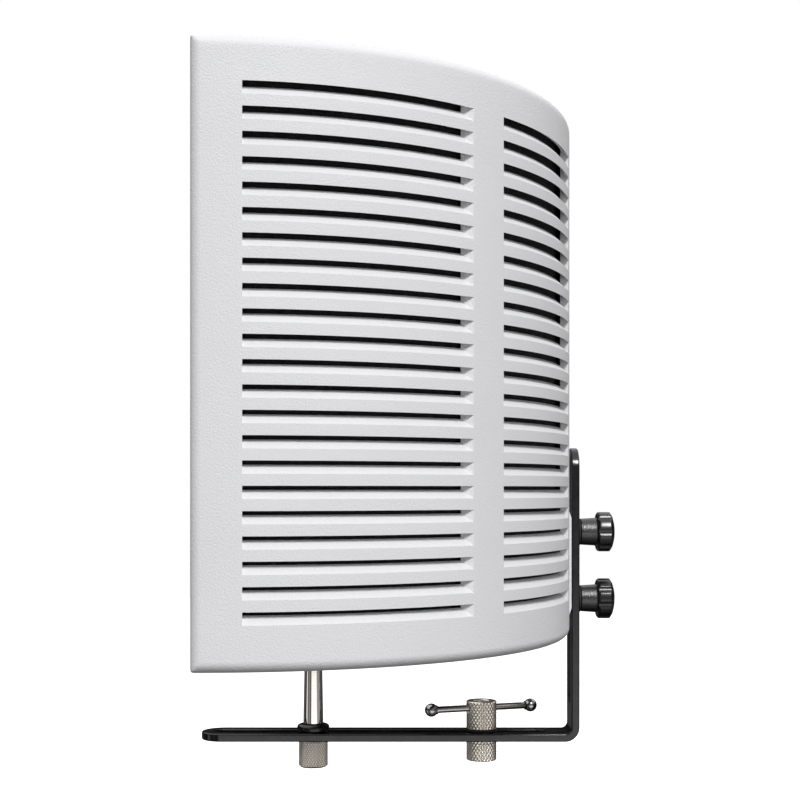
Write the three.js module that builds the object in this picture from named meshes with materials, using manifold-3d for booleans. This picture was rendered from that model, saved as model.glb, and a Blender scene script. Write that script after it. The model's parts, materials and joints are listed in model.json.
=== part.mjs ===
// Microphone isolation shield: a half-round louvred panel with absorbers inside it, an L-bracket with two
// thumb knobs, a microphone post, and an adapter that clamps the bracket on a microphone stand.
//
// Millimetres, +Z up. The origin is on the stand thread's axis, at the adapter's bottom face. The panel's
// open, concave side faces -Y, where the singer is, and the bracket's upright leg is at +Y.

import * as THREE from "three";
import { mergeVertices } from "three/addons/utils/BufferGeometryUtils.js";
import Module from "manifold-3d";

const wasm = await Module();
wasm.setup();

// ------------------------------------------------------------------------------- driving dimensions

const GAP = 0.3; // clearance between pieces that touch
const STUD_R = 3.95; // M8 studs of the knobs and the post
const STUD_BORE_R = 4.3;
const SMALL_FACETS = 28; // flats round a knob, nut or post

// Bracket: one bent steel strip
const STRIP_WIDTH = 27;
const STRIP_THICKNESS = 5;
const BEND_R = 9; // outside of the bend
const LEG_BOTTOM = 13.2; // underside of the level leg
const LEG_TOP = LEG_BOTTOM + STRIP_THICKNESS; // top side of the level leg
const LEG_FRONT = -176.8;
const UPRIGHT_BACK = 60.5; // outer face of the upright leg
const UPRIGHT_FRONT = UPRIGHT_BACK - STRIP_THICKNESS;
const UPRIGHT_TOP = 196.7;
const SLOT_WIDTH = 10.2;
const LEVEL_SLOT = [-168.6, 39.5]; // ends of the level leg's slot, along Y
const UPRIGHT_SLOT = [36, 188.5]; // ends of the upright leg's slot, along Z

// Panel, in its own frame: Z = 0 at its bottom, its arc centred on the Z axis, open towards -Y
const PANEL_PLACE = [0, -152.3, 80];
const PANEL_HEIGHT = 315;
const PANEL_R = 206.5;
const PANEL_FRONT = -2.8; // the two ends stand this far in front of the arc's axis
const PANEL_DEPTH = 50; // from the outer surface to the shell's inner rim
const PANEL_FACETS = 48; // flats in a full turn
const SHELL_WALL = 3.2;
const EDGE_R = 6; // rounding of the shell's outer edges
const EDGE_STEPS = 3;

// Louvres
const SLOT_ROWS = 22;
const SLOT_PITCH = 12.44;
const TOP_SLOT = 291.5; // lip of the highest slot
const SLOT_OPENING = 6.5; // height at the outer surface
const SLOT_THROAT = 2; // height behind the bevel
const BEVEL_DEPTH = 4.5;
const LIP_RISE = 1.8; // the lip's underside slopes up inwards
const SLAT_WALL = 2.2; // the slats are hollow behind
const SLAT_TOP_DEPTH = 2.8; // from the bevel's top edge to the slat's back
const LOUVRE_DEPTH = BEVEL_DEPTH + SLAT_TOP_DEPTH;
const TOP_POCKET = 12; // room behind the wall, above the highest slot
const LOUVRE_FRAME = 3; // plastic left round each column of slots
const END_LEAN = 1.5; // degrees by which a slot's rear end wall leans, from the face to the bevel's depth
const COLUMNS = [[6.5, 42.6], [49.4, 79]]; // one side's columns, in degrees from the panel's end

// Absorbers
const FLEECE_THICKNESS = 3;
const AIR_GAP = 10;
const FOAM_THICKNESS = 26.8;
const ABSORBER_MARGIN = 4; // from the panel's top and bottom to the absorbers

// Knobs and their inserts
const KNOB_HEIGHTS = [64, 21.9]; // above the panel's bottom
const PAD = [17, 72.7]; // the raised pad under the bracket, along Z
const PAD_TAPER = 4;
const PAD_WIDTH = 30;
const PAD_FACE = UPRIGHT_FRONT - GAP - PANEL_PLACE[1];
const BOSS_WIDTH = 40;
const BOSS_DEPTH = 11;
const INSERT_R = 5.7;
const INSERT_LENGTH = 12;
const NECK_LENGTH = 12.1; // from the bracket to the knob's head
const HEAD_R = 12.6;
const HEAD_LENGTH = 11.1;
const FLUTES = 8;
const FLUTE_R = 3.4;
const FLUTE_DEPTH = 0.9;
const WASHER_THICKNESS = 1.2;

// Microphone post
const POST_Y = -106.3;
const COLLAR_R = 10.2;
const COLLAR_HEIGHT = 4.2;
const POST_FOOT_R = 6.35;
const POST_TOP_R = 5.7;
const POST_SHOULDER = 92; // where the post's top thread starts
const POST_THREAD_R = 4.75;
const SLEEVE_R = 7.9;
const SLEEVE_LENGTH = 12;
const POST_NUT_R = 9.25;
const POST_NUT_BOTTOM = -4.3;

// Stand adapter and clamp
const ADAPTER_R = 9.6;
const STAND_BORE_R = 7.5;
const STAND_BORE_DEPTH = 11;
const ADAPTER_STUD_R = 4.7;
const ADAPTER_STUD_TOP = 29;
const CLAMP_WASHER_R = 10.2;
const CLAMP_WASHER_THICKNESS = 0.8;
const CLAMP_NUT_TOP = 37.3;
const CLAMP_BORE_R = 5;
const TOMMY_Z = 32.8;
const TOMMY_TURN = 18.8; // degrees, the front ball towards +X
const TOMMY_R = 2.1;
const TOMMY_HOLE_R = 2.5;
const BALL_R = 4.2;
const BALL_SPACING = 67.3;

// Finishes: colour, roughness, metalness
const WHITE_PLASTIC = ["#e6e6e8", 0.55, 0];
const BLACK_FLEECE = ["#0c0c0d", 0.95, 0];
const BLACK_FOAM = ["#1b1b1d", 0.95, 0];
const BLACK_RUBBER = ["#141414", 0.8, 0];
const BLACK_PAINT = ["#1d1d1e", 0.4, 0.2];
const BLACK_PLASTIC = ["#202022", 0.45, 0];
const ZINC_STEEL = ["#9a9a9c", 0.4, 0.9];
const POLISHED_STEEL = ["#8f8d8a", 0.15, 1];
const CHROME = ["#d8d6d0", 0.08, 1];
const NICKEL = ["#b5aea5", 0.35, 1];
const BRASS = ["#b89a52", 0.35, 1];

// ------------------------------------------------------------------------------------ shape helpers

/** Points of an arc about (x, y), its angles in degrees. */
function arc(x, y, radius, from, to, steps) {
  return Array.from({ length: steps + 1 }, (_, i) => {
    const angle = THREE.MathUtils.degToRad(from + ((to - from) * i) / steps);
    return [x + radius * Math.cos(angle), y + radius * Math.sin(angle)];
  });
}

/** A closed solid for joining and cutting, its faces turned outwards. */
function solid(geometry) {
  geometry.deleteAttribute("normal");
  geometry.deleteAttribute("uv");
  const merged = mergeVertices(geometry, 1e-4);
  const positions = merged.getAttribute("position").array;
  const corner = (index) => new THREE.Vector3().fromArray(positions, 3 * index);
  const triangles = [];
  let volume = 0;
  for (let i = 0; i < merged.index.count; i += 3) {
    const [a, b, c] = merged.index.array.slice(i, i + 3);
    if (a === b || b === c || c === a) continue;
    triangles.push(a, b, c);
    volume += corner(a).dot(corner(b).cross(corner(c)));
  }
  if (volume < 0) triangles.reverse();
  const mesh = { numProp: 3, vertProperties: positions, triVerts: Uint32Array.from(triangles) };
  return new wasm.Manifold(new wasm.Mesh(mesh));
}

/** Solid turned about Y, its outline of [radius, y] starting and ending on the axis. */
function turnedAboutY(outline, facets = SMALL_FACETS) {
  return solid(new THREE.LatheGeometry(outline.map(([r, y]) => new THREE.Vector2(r, y)), facets));
}

/** Solid turned about Z, its outline of [radius, z] starting and ending on the axis. */
function turned(outline, facets = SMALL_FACETS) {
  const points = outline.map(([r, z]) => new THREE.Vector2(r, z));
  return solid(new THREE.LatheGeometry(points, facets).rotateX(Math.PI / 2));
}

/** The outline of a ring's section, closed on itself. */
function closed(outline) {
  return [...outline, outline[0]];
}

const [X, Y, Z] = [0, 1, 2].map((axis) => new THREE.Vector3().setComponent(axis, 1));
const ALONG_X = new THREE.Matrix4().makeBasis(Y, Z, X); // the outline's points are [y, z]
const ALONG_Y = new THREE.Matrix4().makeBasis(Z, X, Y); // the outline's points are [z, x]
const ALONG_Z = new THREE.Matrix4(); // the outline's points are [x, y]

/** Solid of one outline, drawn out from low to high along an axis. */
function prism(outline, low, high, direction = ALONG_Z) {
  const shape = new THREE.Shape(outline.map(([x, y]) => new THREE.Vector2(x, y)));
  const geometry = new THREE.ExtrudeGeometry(shape, { depth: high - low, bevelEnabled: false });
  return solid(geometry.translate(0, 0, low).applyMatrix4(direction));
}

/** Outline of a rectangle. */
function rectangle(x0, x1, y0, y1) {
  return [[x0, y0], [x1, y0], [x1, y1], [x0, y1]];
}

/** Outline of a slot with round ends, running along the first coordinate. */
function slotOutline([from, to], width) {
  const r = width / 2;
  return [...arc(to - r, 0, r, -90, 90, 10), ...arc(from + r, 0, r, 90, 270, 10)];
}

/** Round bar or hole along Y, at (x, z). */
function roundAlongY(radius, x, z, low, high, facets = 24) {
  return prism(arc(z, x, radius, 0, 360, facets).slice(1), low, high, ALONG_Y);
}

/** One named piece of the object. */
function piece(name, body, [color, roughness, metalness]) {
  const { vertProperties, triVerts } = body.getMesh();
  const geometry = new THREE.BufferGeometry();
  geometry.setAttribute("position", new THREE.BufferAttribute(vertProperties, 3));
  geometry.setIndex(new THREE.BufferAttribute(triVerts, 1));
  geometry.computeVertexNormals();
  const mesh = new THREE.Mesh(geometry, new THREE.MeshStandardMaterial({ color, roughness, metalness }));
  mesh.name = name;
  return mesh;
}

/** Group of pieces with its own place. */
function placed(position, ...pieces) {
  const group = new THREE.Group();
  group.position.set(...position);
  group.add(...pieces);
  return group;
}

// -------------------------------------------------------------------------------------------- panel

/** Point on the panel's faceted arc, where the flats join at whole steps of the circle. */
function onPanelArc(radius, degrees) {
  const step = 360 / PANEL_FACETS;
  const offFlat = THREE.MathUtils.degToRad((degrees % step) - step / 2);
  const flat = radius * Math.cos(THREE.MathUtils.degToRad(step / 2));
  const angle = THREE.MathUtils.degToRad(degrees);
  const r = flat / Math.cos(offFlat);
  return [r * Math.cos(angle), r * Math.sin(angle)];
}

/** Points along the panel's faceted arc between two angles. */
function panelArc(radius, from, to) {
  const step = 360 / PANEL_FACETS;
  const angles = [from];
  for (let a = step * (Math.floor(from / step) + 1); a < to; a += step) angles.push(a);
  return [...angles, to].map((a) => onPanelArc(radius, a));
}

/** Curved block of the panel between two angles, two radii and two heights. */
function curvedBlock([from, to], inner, outer, low, high) {
  const outline = [...panelArc(outer, from, to), ...panelArc(inner, from, to).reverse()];
  return prism(outline, low, high);
}

/** A shape on one side of the panel together with its mirror image on the other. */
function bothSides(body) {
  return body.add(body.mirror([1, 0, 0]));
}

/** Half-round tray: back wall, top and bottom walls and the two end walls, all rounded outside. */
function tray() {
  const rim = PANEL_R - PANEL_DEPTH;
  const section = closed([
    [rim, 0],
    ...arc(PANEL_R - EDGE_R, EDGE_R, EDGE_R, -90, 0, EDGE_STEPS),
    ...arc(PANEL_R - EDGE_R, PANEL_HEIGHT - EDGE_R, EDGE_R, 0, 90, EDGE_STEPS),
    [rim, PANEL_HEIGHT],
  ]);
  const plan = [
    ...arc(EDGE_R - PANEL_R, EDGE_R + PANEL_FRONT, EDGE_R, 180, 270, EDGE_STEPS),
    ...arc(PANEL_R - EDGE_R, EDGE_R + PANEL_FRONT, EDGE_R, 270, 360, EDGE_STEPS),
    [PANEL_R, PANEL_R + 1],
    [-PANEL_R, PANEL_R + 1],
  ];
  const room = closed([
    [rim - 1, SHELL_WALL],
    [PANEL_R - SHELL_WALL, SHELL_WALL],
    [PANEL_R - SHELL_WALL, PANEL_HEIGHT - SHELL_WALL],
    [rim - 1, PANEL_HEIGHT - SHELL_WALL],
  ]);
  const endFace = PANEL_FRONT + SHELL_WALL;
  const behindEnds = prism(rectangle(-PANEL_R, PANEL_R, endFace, PANEL_R), 0, PANEL_HEIGHT);
  const outside = turned(section, PANEL_FACETS).intersect(prism(plan, -1, PANEL_HEIGHT + 1));
  return outside.subtract(turned(room, PANEL_FACETS).intersect(behindEnds));
}

/** The air of one slot: its opening, and the hollow behind the slat under it. */
function slotRing(lip, isLowest) {
  const back = PANEL_R - LOUVRE_DEPTH - 1;
  const throat = lip - SLOT_THROAT;
  const slatBack = PANEL_R - LOUVRE_DEPTH;
  const slatInside = PANEL_R - SLAT_WALL;
  const hollow = [
    [slatBack, throat],
    [slatInside, throat - (slatInside - slatBack)],
    [slatInside, lip - SLOT_PITCH + LIP_RISE / 2],
    [back, lip - SLOT_PITCH + LIP_RISE / 2],
  ];
  return turned(closed([
    [PANEL_R + 1, lip],
    [PANEL_R + 1, lip - SLOT_OPENING],
    [PANEL_R, lip - SLOT_OPENING],
    [PANEL_R - BEVEL_DEPTH, throat],
    ...(isLowest ? [[back, throat]] : hollow),
    [back, lip + LIP_RISE],
    [slatInside, lip + LIP_RISE],
    [PANEL_R, lip],
  ]), PANEL_FACETS);
}

/** Every slot at once: one ring of air for each row, kept only inside the columns. */
function slots() {
  const rings = Array.from({ length: SLOT_ROWS }, (_, row) => (
    slotRing(TOP_SLOT - SLOT_PITCH * row, row === SLOT_ROWS - 1)
  ));
  const pocket = closed([
    [PANEL_R - SHELL_WALL, TOP_SLOT - SLOT_THROAT / 2],
    [PANEL_R - SHELL_WALL, TOP_SLOT + TOP_POCKET],
    [PANEL_R - LOUVRE_DEPTH - 1, TOP_SLOT + TOP_POCKET],
    [PANEL_R - LOUVRE_DEPTH - 1, TOP_SLOT - SLOT_THROAT / 2],
  ]);
  const columns = COLUMNS.map(([from, to]) => prism([
    ...panelArc(PANEL_R + 2, from, to),
    onPanelArc(PANEL_R, to),
    onPanelArc(PANEL_R - BEVEL_DEPTH, to - END_LEAN),
    ...panelArc(PANEL_R - LOUVRE_DEPTH - 2, from, to - END_LEAN).reverse(),
  ], 0, PANEL_HEIGHT));
  return wasm.Manifold.union([...rings, turned(pocket, PANEL_FACETS)])
    .intersect(bothSides(wasm.Manifold.union(columns)));
}

/** Blocks behind one column of slots: what the slots leave of them are the frame and the slats. */
function louvreBlocks([from, to]) {
  const side = THREE.MathUtils.radToDeg(LOUVRE_FRAME / PANEL_R);
  const lowest = TOP_SLOT - SLOT_PITCH * (SLOT_ROWS - 1) - SLOT_OPENING;
  const highest = TOP_SLOT + TOP_POCKET + LOUVRE_FRAME;
  const root = PANEL_R - SHELL_WALL / 2;
  const frame = [from - side, to + side];
  const slats = [from + 0.02, to - END_LEAN - 0.02];
  return [
    curvedBlock(frame, PANEL_R - BEVEL_DEPTH, root, lowest - LOUVRE_FRAME, highest),
    curvedBlock(slats, PANEL_R - LOUVRE_DEPTH, root, lowest, TOP_SLOT),
  ];
}

/** Raised pad under the bracket, its ends tapering into the shell. */
function pad() {
  const root = PANEL_R - SHELL_WALL / 2;
  const [low, high] = PAD;
  const outline = [
    [root, low - PAD_TAPER],
    [PANEL_R - 0.2, low - PAD_TAPER],
    [PAD_FACE, low],
    [PAD_FACE, high],
    [PANEL_R - 0.2, high + PAD_TAPER],
    [root, high + PAD_TAPER],
  ];
  return prism(outline, -PAD_WIDTH / 2, PAD_WIDTH / 2, ALONG_X);
}

/** The louvred shell with the boss that holds the two inserts. */
function rearShell() {
  const bossFace = PANEL_R - SHELL_WALL - BOSS_DEPTH;
  const bossPlan = rectangle(-BOSS_WIDTH / 2, BOSS_WIDTH / 2, bossFace, PANEL_R - SHELL_WALL / 2 - 1);
  const boss = prism(bossPlan, PAD[0] - 7, PAD[1] + 8);
  const bores = KNOB_HEIGHTS.map((z) => (
    roundAlongY(INSERT_R + GAP, 0, z, PAD_FACE - INSERT_LENGTH - GAP, PAD_FACE + 1)
  ));
  const louvres = bothSides(wasm.Manifold.union(COLUMNS.flatMap(louvreBlocks)));
  return wasm.Manifold.union([tray(), louvres, boss, pad()])
    .subtract(slots())
    .subtract(wasm.Manifold.union(bores));
}

/** Brass threaded insert, flush in the pad. */
function insert(z) {
  const section = closed([
    [STUD_BORE_R, PAD_FACE - INSERT_LENGTH],
    [INSERT_R, PAD_FACE - INSERT_LENGTH],
    [INSERT_R, PAD_FACE],
    [STUD_BORE_R, PAD_FACE],
  ]);
  return turnedAboutY(section, 24).translate(0, 0, z);
}

/** The four kinds of absorber, stacked inwards from the louvres. */
function absorbers() {
  const [low, high] = [ABSORBER_MARGIN, PANEL_HEIGHT - ABSORBER_MARGIN];
  const fleeceOuter = PANEL_R - LOUVRE_DEPTH - GAP;
  const fleeceInner = fleeceOuter - FLEECE_THICKNESS;
  const battenOuter = fleeceInner - GAP;
  const battenInner = battenOuter - AIR_GAP;
  const foamOuter = battenInner - GAP;
  const fleece = [1.2, 82]; // degrees, from the end wall to the boss
  const fleeces = [fleece, fleece.map((a) => 180 - a).reverse()];
  const battens = [2.8, 46, 90, 134, 177.2].map((middle, i) => {
    const central = i === 2;
    const half = central ? 3 : 1.4;
    const outer = central ? PANEL_R - SHELL_WALL - GAP : battenOuter;
    const foot = central ? PAD[1] + 12 : low + 1;
    return curvedBlock([middle - half, middle + half], battenInner, outer, foot, high - 1);
  });
  return [
    ...fleeces.map((angles, i) => piece(
      ["rear_fleece_right", "rear_fleece_left"][i],
      curvedBlock(angles, fleeceInner, fleeceOuter, low, high),
      BLACK_FLEECE,
    )),
    ...battens.map((batten, i) => piece(`spacer_batten_${i + 1}`, batten, BLACK_RUBBER)),
    piece("inner_foam", curvedBlock([0.6, 179.4], foamOuter - FOAM_THICKNESS, foamOuter, low, high),
      BLACK_FOAM),
  ];
}

// -------------------------------------------------------------------------------------------- knobs

/** Thumb knob with a tapered neck and a fluted head, Y = 0 at the bracket's outer face. */
function knob(turn) {
  const start = GAP + WASHER_THICKNESS + GAP;
  const end = NECK_LENGTH + HEAD_LENGTH;
  const outline = [
    [0, start],
    [8.2, start],
    [8.8, NECK_LENGTH],
    [HEAD_R - 0.7, NECK_LENGTH + 0.8],
    [HEAD_R, NECK_LENGTH + 1.6],
    [HEAD_R, end - 3.1],
    [HEAD_R - 2.6, end - 1.4],
    [HEAD_R / 2, end - 0.4],
    [0, end],
  ];
  const reach = HEAD_R - FLUTE_DEPTH + FLUTE_R;
  const flutes = Array.from({ length: FLUTES }, (_, i) => {
    const [z, x] = arc(0, 0, reach, turn, turn + 360, FLUTES)[i];
    return roundAlongY(FLUTE_R, x, z, NECK_LENGTH - 1, end + 1, 16);
  });
  const bore = roundAlongY(STUD_BORE_R, 0, 0, -1, NECK_LENGTH + 3.7);
  return turnedAboutY(outline).subtract(wasm.Manifold.union([...flutes, bore]));
}

/** One knob with its moulded-in stud and its washer, at a height above the panel's bottom. */
function knobSet(name, height, turn) {
  const studStart = PAD_FACE + PANEL_PLACE[1] - UPRIGHT_BACK - INSERT_LENGTH + 1;
  const washer = closed([
    [STUD_BORE_R + 0.1, GAP],
    [8.8, GAP],
    [8.8, GAP + WASHER_THICKNESS],
    [STUD_BORE_R + 0.1, GAP + WASHER_THICKNESS],
  ]);
  return placed([0, UPRIGHT_BACK, PANEL_PLACE[2] + height],
    piece(`${name}_knob`, knob(turn), BLACK_PLASTIC),
    piece(`${name}_knob_stud`, roundAlongY(STUD_R, 0, 0, studStart, NECK_LENGTH + 3.4), ZINC_STEEL),
    piece(`${name}_knob_washer`, turnedAboutY(washer), BLACK_RUBBER));
}

// ------------------------------------------------------------------------------------------ bracket

/** The bent strip, round at both ends, with a long slot in each leg. */
function bracket() {
  const bendY = UPRIGHT_BACK - BEND_R;
  const bendZ = LEG_BOTTOM + BEND_R;
  const side = [
    [LEG_FRONT, LEG_BOTTOM],
    ...arc(bendY, bendZ, BEND_R, -90, 0, 6),
    [UPRIGHT_BACK, UPRIGHT_TOP],
    [UPRIGHT_FRONT, UPRIGHT_TOP],
    ...arc(bendY, bendZ, BEND_R - STRIP_THICKNESS, 0, -90, 6),
    [LEG_FRONT, LEG_TOP],
  ];
  const r = STRIP_WIDTH / 2;
  const plan = [[r, UPRIGHT_BACK + 1], [-r, UPRIGHT_BACK + 1], ...arc(0, LEG_FRONT + r, r, 180, 360, 16)];
  const front = [[0, r], [0, -r], ...arc(UPRIGHT_TOP - r, 0, r, -90, 90, 16)];
  const levelSlot = prism(
    slotOutline(LEVEL_SLOT, SLOT_WIDTH).map(([y, x]) => [-x, y]), LEG_BOTTOM - 1, LEG_TOP + 1,
  );
  const uprightSlot = prism(
    slotOutline(UPRIGHT_SLOT, SLOT_WIDTH), UPRIGHT_FRONT - 1, UPRIGHT_BACK + 1, ALONG_Y,
  );
  return prism(side, -r - 1, r + 1, ALONG_X)
    .intersect(prism(plan, 0, UPRIGHT_TOP + 1))
    .intersect(prism(front, LEG_FRONT - 1, UPRIGHT_BACK + 1, ALONG_Y))
    .subtract(levelSlot)
    .subtract(uprightSlot);
}

// ---------------------------------------------------------------------------------- microphone post

/** Tapered post: clamping stud below, top thread above. */
function micPost() {
  const foot = LEG_TOP + GAP + COLLAR_HEIGHT + GAP;
  return turned([
    [0, POST_NUT_BOTTOM + 2.9],
    [STUD_R, POST_NUT_BOTTOM + 2.9],
    [STUD_R, foot],
    [POST_FOOT_R, foot],
    [POST_TOP_R, 58],
    [POST_TOP_R, POST_SHOULDER - 0.6],
    [POST_TOP_R - 0.6, POST_SHOULDER],
    [POST_THREAD_R, POST_SHOULDER],
    [POST_THREAD_R, POST_SHOULDER + SLEEVE_LENGTH - 0.5],
    [0, POST_SHOULDER + SLEEVE_LENGTH - 0.5],
  ]);
}

/** Domed collar between the post and the bracket. */
function postCollar() {
  const base = LEG_TOP + GAP;
  return turned(closed([
    [STUD_BORE_R, base],
    [COLLAR_R - 0.5, base],
    [COLLAR_R, base + 0.6],
    ...arc(COLLAR_R - 2.4, base + COLLAR_HEIGHT - 2.4, 2.4, 0, 90, 3),
    [STUD_BORE_R, base + COLLAR_HEIGHT],
  ]));
}

/** Sleeve that turns the post's top thread into a 5/8 inch one. */
function postThreadSleeve() {
  const base = POST_SHOULDER + GAP;
  const top = base + SLEEVE_LENGTH;
  return turned(closed([
    [POST_THREAD_R + GAP, base],
    [SLEEVE_R, base],
    [SLEEVE_R, top - 0.5],
    [SLEEVE_R - 0.5, top],
    [POST_THREAD_R + GAP, top],
  ]));
}

/** Knurled nut on the post's stud, closed at its bottom. */
function postNut() {
  const top = LEG_BOTTOM - GAP;
  return turned([
    [0, POST_NUT_BOTTOM],
    [POST_NUT_R - 0.9, POST_NUT_BOTTOM],
    [POST_NUT_R, POST_NUT_BOTTOM + 0.9],
    [POST_NUT_R, top - 0.6],
    [POST_NUT_R - 0.6, top],
    [STUD_BORE_R, top],
    [STUD_BORE_R, POST_NUT_BOTTOM + 2.3],
    [0, POST_NUT_BOTTOM + 2.3],
  ]);
}

// ---------------------------------------------------------------------------------- stand and clamp

/** Socket for the stand's thread, with the stud that goes up through the bracket. */
function standAdapter() {
  return turned([
    [0, STAND_BORE_DEPTH],
    [STAND_BORE_R, STAND_BORE_DEPTH],
    [STAND_BORE_R, 0.5],
    [STAND_BORE_R + 0.5, 0],
    [ADAPTER_R - 0.4, 0],
    [ADAPTER_R, 0.4],
    [ADAPTER_R, LEG_BOTTOM - GAP],
    [ADAPTER_STUD_R, LEG_BOTTOM - GAP],
    [ADAPTER_STUD_R, ADAPTER_STUD_TOP - 0.4],
    [ADAPTER_STUD_R - 0.4, ADAPTER_STUD_TOP],
    [0, ADAPTER_STUD_TOP],
  ]);
}

function clampWasher() {
  const base = LEG_TOP + GAP;
  return turned(closed([
    [CLAMP_BORE_R, base],
    [CLAMP_WASHER_R, base],
    [CLAMP_WASHER_R, base + CLAMP_WASHER_THICKNESS],
    [CLAMP_BORE_R, base + CLAMP_WASHER_THICKNESS],
  ]));
}

/** Knurled nut, its cross hole flared at both mouths. */
function clampNut() {
  const base = LEG_TOP + GAP + CLAMP_WASHER_THICKNESS + GAP;
  const body = turned(closed([
    [CLAMP_BORE_R, base],
    [ADAPTER_R - 0.6, base],
    [ADAPTER_R, base + 0.6],
    [ADAPTER_R, CLAMP_NUT_TOP - 0.5],
    [ADAPTER_R - 0.5, CLAMP_NUT_TOP],
    [CLAMP_BORE_R + 0.5, CLAMP_NUT_TOP],
    [CLAMP_BORE_R, CLAMP_NUT_TOP - 0.5],
  ]));
  const hole = turnedAboutY([
    [0, -10],
    [TOMMY_HOLE_R + 0.8, -10],
    [TOMMY_HOLE_R, -8.8],
    [TOMMY_HOLE_R, 8.8],
    [TOMMY_HOLE_R + 0.8, 10],
    [0, 10],
  ], 20);
  return body.subtract(hole.translate(0, 0, TOMMY_Z));
}

/** Ball with a blind hole that takes the bar's end; side is -1 for the front one, 1 for the rear one. */
function tommyBall(side) {
  const middle = (side * BALL_SPACING) / 2;
  const ball = solid(new THREE.SphereGeometry(BALL_R, 20, 12).translate(0, middle, 0));
  const [low, high] = [middle, middle - side * (BALL_R + 1)].sort((a, b) => a - b);
  return ball.subtract(roundAlongY(TOMMY_R + GAP, 0, 0, low, high, 16)).translate(0, 0, TOMMY_Z);
}

/** Clamp nut, bar and balls in one group, turned to where the bar points. */
function clamp() {
  const half = BALL_SPACING / 2 - GAP;
  const bar = roundAlongY(TOMMY_R, 0, TOMMY_Z, -half, half, 16);
  const group = placed([0, 0, 0],
    piece("clamp_nut", clampNut(), NICKEL),
    piece("tommy_bar", bar, POLISHED_STEEL),
    piece("tommy_ball_front", tommyBall(-1), POLISHED_STEEL),
    piece("tommy_ball_rear", tommyBall(1), POLISHED_STEEL));
  group.rotation.z = THREE.MathUtils.degToRad(TOMMY_TURN);
  return group;
}

// ----------------------------------------------------------------------------------------- assembly

const [upper, lower] = KNOB_HEIGHTS;

const panel = placed(PANEL_PLACE,
  piece("rear_shell", rearShell(), WHITE_PLASTIC),
  piece("upper_insert", insert(upper), BRASS),
  piece("lower_insert", insert(lower), BRASS),
  ...absorbers());

const post = placed([0, POST_Y, 0],
  piece("mic_post", micPost(), CHROME),
  piece("post_collar", postCollar(), BLACK_PAINT),
  piece("post_thread_sleeve", postThreadSleeve(), BRASS),
  piece("post_nut", postNut(), NICKEL));

const shield = placed([0, 0, 0],
  piece("stand_adapter", standAdapter(), NICKEL),
  piece("clamp_washer", clampWasher(), BLACK_RUBBER),
  clamp(),
  piece("bracket", bracket(), BLACK_PAINT),
  post,
  panel,
  knobSet("upper", upper, 0),
  knobSet("lower", lower, 15));

export default shield;
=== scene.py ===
import json
import math

import bmesh
import bpy
import numpy as np
from mathutils import Matrix, Vector


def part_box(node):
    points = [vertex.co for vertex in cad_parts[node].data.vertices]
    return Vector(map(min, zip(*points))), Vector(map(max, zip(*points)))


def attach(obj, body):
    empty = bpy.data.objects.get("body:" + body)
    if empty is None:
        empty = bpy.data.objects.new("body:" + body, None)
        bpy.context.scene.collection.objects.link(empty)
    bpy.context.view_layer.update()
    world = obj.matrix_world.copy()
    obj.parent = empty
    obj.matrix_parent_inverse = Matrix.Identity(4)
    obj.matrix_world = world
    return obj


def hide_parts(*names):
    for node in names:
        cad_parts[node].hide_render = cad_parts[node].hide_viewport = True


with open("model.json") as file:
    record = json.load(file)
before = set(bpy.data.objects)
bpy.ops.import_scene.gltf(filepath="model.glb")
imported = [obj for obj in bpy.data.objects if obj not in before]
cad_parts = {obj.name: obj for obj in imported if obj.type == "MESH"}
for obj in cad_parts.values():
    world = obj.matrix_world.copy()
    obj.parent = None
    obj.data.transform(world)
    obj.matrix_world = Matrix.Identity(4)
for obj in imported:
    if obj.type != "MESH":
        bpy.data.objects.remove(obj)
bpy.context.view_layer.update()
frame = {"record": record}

# Microphone isolation shield. Shapes are written in millimetres, in the row frame, and are turned into
# metres as their meshes are made. Each piece replaces the CAD node that it is named after and rides on that
# node's body.

# ------------------------------------------------------------------------------- driving dimensions

MM = 0.001
SHARP_ANGLE = 35  # degrees between faces, above which an edge isn't shaded smooth


def corners(node):
    """Lowest and highest corner of a CAD node, in millimetres."""
    low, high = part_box(node)
    return np.array(low) / MM, np.array(high) / MM


shell_low, shell_high = corners("rear_shell")
strip_low, strip_high = corners("bracket")

# Panel: a half turn about a vertical axis, open towards -Y
PANEL_FRONT = -2.8  # the two ends stand this far in front of the arc's axis
PANEL_Y = shell_low[1] - PANEL_FRONT
PANEL_Z = shell_low[2]
PANEL_HEIGHT = shell_high[2] - shell_low[2]
PANEL_R = 206.5
PANEL_DEPTH = 50
SHELL_WALL = 3.2
EDGE_R = 6
CORNER_R = 2  # rounding of the outline where the top and bottom meet the ends
SHELL_FILLET = 0.3
SLOT_ROWS = 22
SLOT_PITCH = 12.44
TOP_SLOT = 291.5  # lip of the highest slot, above the panel's bottom
SLOT_OPENING = 6.5
SLOT_THROAT = 2
BEVEL_DEPTH = 4.5
LIP_RISE = 1.8  # the lip's underside slopes up inwards
SLAT_WALL = 2.2
SLAT_TOP_DEPTH = 2.8  # from the bevel's top edge to the slat's back
LOUVRE_DEPTH = BEVEL_DEPTH + SLAT_TOP_DEPTH
TOP_POCKET = 12  # room behind the wall, above the highest slot
LOUVRE_FRAME = 3
END_LEAN = 1.5  # degrees by which a slot's rear end wall leans, from the face to the bevel's depth
COLUMNS = [(6.5, 42.6), (49.4, 79)]  # one side's columns of slots, in degrees from the panel's end
PAD = (17, 72.7)
PAD_TAPER = 4
PAD_WIDTH = 30
PAD_FACE = shell_high[1] - PANEL_Y
BOSS_WIDTH = 40
BOSS_DEPTH = 11
INSERT_BORE_R = 6

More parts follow.
